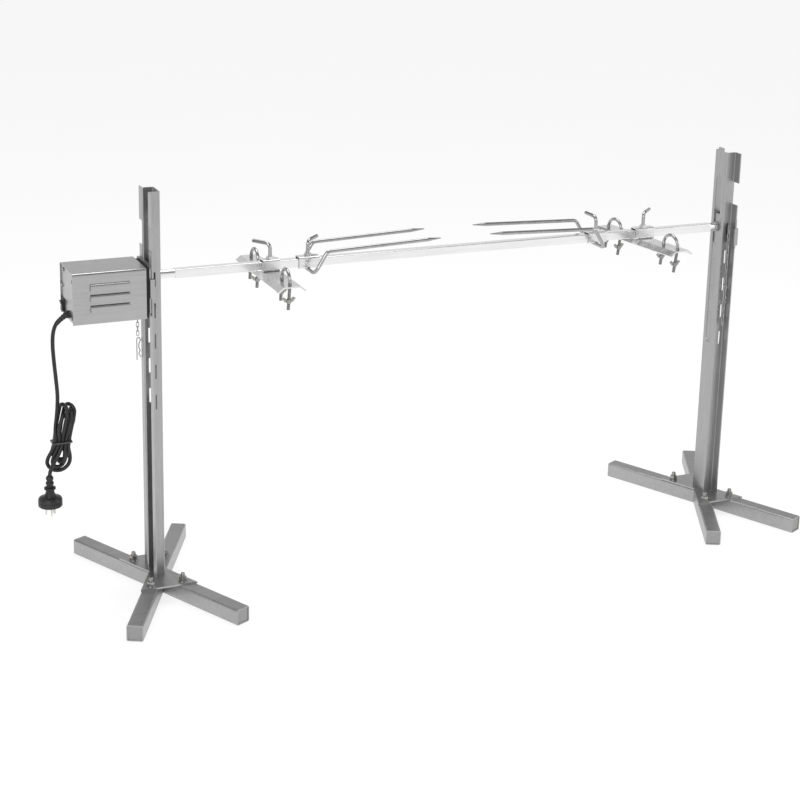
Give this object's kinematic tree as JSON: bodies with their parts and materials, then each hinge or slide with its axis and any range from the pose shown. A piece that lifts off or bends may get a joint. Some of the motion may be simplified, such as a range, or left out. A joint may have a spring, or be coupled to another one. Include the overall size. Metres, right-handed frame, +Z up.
{
  "type": "rotisserie spit roaster",
  "caption": "Free-standing rotisserie: two crossed-leg stands with slotted channel posts, a geared motor box, a square spit with sliding forks, saddle clamps and a hanging cord.",
  "frame": {"origin": "on the floor under the crossing of the motor stand's legs", "axes": "+X along the spit from the motor stand to the bearing stand, +Y away from the cook, +Z up"},
  "size_m": [1.5086, 0.4176, 0.755],
  "materials": {
    "leg_steel": "satin",
    "sheet_steel": "brushed",
    "bright_steel": "polished",
    "zinc_steel": "bright zinc",
    "black_plastic": "moulded",
    "black_rubber": "matt",
    "gear_plastic": "moulded",
    "cast_case": "cast",
    "motor_steel": "satin",
    "pin_brass": "plated"
  },
  "bodies": {
    "motor_stand": {"left_base_plate": "sheet_steel", "left_foot_bolts": "zinc_steel", "left_foot_nuts": "zinc_steel", "left_leg_caps": "leg_steel", "left_leg_cross": "leg_steel", "left_leg_long": "leg_steel", "left_post": "sheet_steel"},
    "bearing_stand": {"right_base_plate": "sheet_steel", "right_clip": "bright_steel", "right_foot_bolts": "zinc_steel", "right_foot_nuts": "zinc_steel", "right_leg_caps": "leg_steel", "right_leg_cross": "leg_steel", "right_leg_long": "leg_steel", "right_post": "sheet_steel"},
    "motor_unit": {"motor_bracket": "sheet_steel", "bracket_gasket": "black_rubber", "motor_cover": "sheet_steel", "motor_tray": "sheet_steel", "housing_screws": "zinc_steel", "gearbox_case": "cast_case", "motor_can": "motor_steel", "switch_bezel": "black_plastic", "cord_gland": "black_plastic", "cord": "black_rubber", "cord_hank": "black_rubber", "plug_body": "black_plastic", "plug_pins": "pin_brass", "left_clip": "bright_steel", "cord_tie": "zinc_steel"},
    "rotor": {"motor_rotor": "motor_steel"},
    "bearing_unit": {"bearing_bracket": "sheet_steel", "bearing_bush": "bright_steel"},
    "spit": {"spit_rod": "bright_steel", "drive_socket": "bright_steel", "output_gear": "gear_plastic"},
    "rocker": {"switch_rocker": "black_plastic"},
    "left_lock": {"left_lock_blade": "zinc_steel"},
    "left_fork": {"left_fork_collar": "bright_steel", "left_fork_prongs": "bright_steel"},
    "left_clamp": {"left_clamp_collar": "bright_steel", "left_clamp_plate": "sheet_steel"},
    "left_fork_lever": {"left_fork_screw": "bright_steel"},
    "left_clamp_lever": {"left_clamp_screw": "bright_steel"},
    "left_front_saddle": {"left_front_u_bolt": "bright_steel", "left_front_wing_nuts": "zinc_steel"},
    "left_rear_saddle": {"left_rear_u_bolt": "bright_steel", "left_rear_wing_nuts": "zinc_steel"},
    "right_lock": {"right_lock_blade": "zinc_steel"},
    "right_fork": {"right_fork_collar": "bright_steel", "right_fork_prongs": "bright_steel"},
    "right_clamp": {"right_clamp_collar": "bright_steel", "right_clamp_plate": "sheet_steel"},
    "right_fork_lever": {"right_fork_screw": "bright_steel"},
    "right_clamp_lever": {"right_clamp_screw": "bright_steel"},
    "right_front_saddle": {"right_front_u_bolt": "bright_steel", "right_front_wing_nuts": "zinc_steel"},
    "right_rear_saddle": {"right_rear_u_bolt": "bright_steel", "right_rear_wing_nuts": "zinc_steel"}
  },
  "joints": [
    {"name": "bearing_stand_shift", "type": "slide", "parent": "motor_stand", "child": "bearing_stand", "axis": [1, 0, 0], "range_m": [0, 0.06]},
    {"name": "motor_height", "type": "slide", "parent": "motor_stand", "child": "motor_unit", "axis": [0, 0, 1], "range_m": [-0.171, 0]},
    {"name": "bearing_height", "type": "slide", "parent": "bearing_stand", "child": "bearing_unit", "axis": [0, 0, 1], "range_m": [-0.171, 0]},
    {"name": "spit_spin", "type": "hinge", "parent": "motor_unit", "child": "spit", "pos_m": [0, 0, 0.6], "axis": [1, 0, 0], "continuous": true},
    {"name": "rotor_spin", "type": "hinge", "parent": "motor_unit", "child": "rotor", "pos_m": [-0.04, 0.01511, 0.58541], "axis": [1, 0, 0], "continuous": true},
    {"name": "rocker_tilt", "type": "hinge", "parent": "motor_unit", "child": "rocker", "pos_m": [-0.151, 0.047, 0.546], "axis": [0, 1, 0], "range_deg": [0, 14]},
    {"name": "left_lock_slide", "type": "slide", "parent": "motor_unit", "child": "left_lock", "axis": [0, -1, 0], "range_m": [0, 0.008]},
    {"name": "right_lock_slide", "type": "slide", "parent": "bearing_unit", "child": "right_lock", "axis": [0, -1, 0], "range_m": [0, 0.008]},
    {"name": "left_fork_slide", "type": "slide", "parent": "spit", "child": "left_fork", "axis": [1, 0, 0], "range_m": [-0.03, 0.055]},
    {"name": "left_fork_lever_turn", "type": "hinge", "parent": "left_fork", "child": "left_fork_lever", "pos_m": [0.291, 0, 0.64], "axis": [0, 0, 1], "range_deg": [-180, 180]},
    {"name": "right_fork_slide", "type": "slide", "parent": "spit", "child": "right_fork", "axis": [1, 0, 0], "range_m": [-0.055, 0.03]},
    {"name": "right_fork_lever_turn", "type": "hinge", "parent": "right_fork", "child": "right_fork_lever", "pos_m": [0.893, 0, 0.64], "axis": [0, 0, 1], "range_deg": [-180, 180]},
    {"name": "left_clamp_slide", "type": "slide", "parent": "spit", "child": "left_clamp", "axis": [1, 0, 0], "range_m": [-0.14, 0.03]},
    {"name": "left_clamp_lever_turn", "type": "hinge", "parent": "left_clamp", "child": "left_clamp_lever", "pos_m": [0.218, 0, 0.64], "axis": [0, 0, 1], "range_deg": [-180, 180]},
    {"name": "right_clamp_slide", "type": "slide", "parent": "spit", "child": "right_clamp", "axis": [1, 0, 0], "range_m": [-0.03, 0.11]},
    {"name": "right_clamp_lever_turn", "type": "hinge", "parent": "right_clamp", "child": "right_clamp_lever", "pos_m": [1, 0, 0.64], "axis": [0, 0, 1], "range_deg": [-180, 180]},
    {"name": "left_front_saddle_lift", "type": "slide", "parent": "left_clamp", "child": "left_front_saddle", "axis": [0, -0.1564, 0.9877], "range_m": [0, 0.012]},
    {"name": "left_rear_saddle_lift", "type": "slide", "parent": "left_clamp", "child": "left_rear_saddle", "axis": [0, -0.1564, 0.9877], "range_m": [0, 0.012]},
    {"name": "right_front_saddle_lift", "type": "slide", "parent": "right_clamp", "child": "right_front_saddle", "axis": [0.0245, -0.1545, 0.9877], "range_m": [0, 0.012]},
    {"name": "right_rear_saddle_lift", "type": "slide", "parent": "right_clamp", "child": "right_rear_saddle", "axis": [0.0245, -0.1545, 0.9877], "range_m": [0, 0.012]}
  ],
  "couplings": [
    {"joint": "bearing_height", "follows": "motor_height", "ratio": 1},
    {"joint": "rotor_spin", "follows": "spit_spin", "ratio": -4}
  ]
}
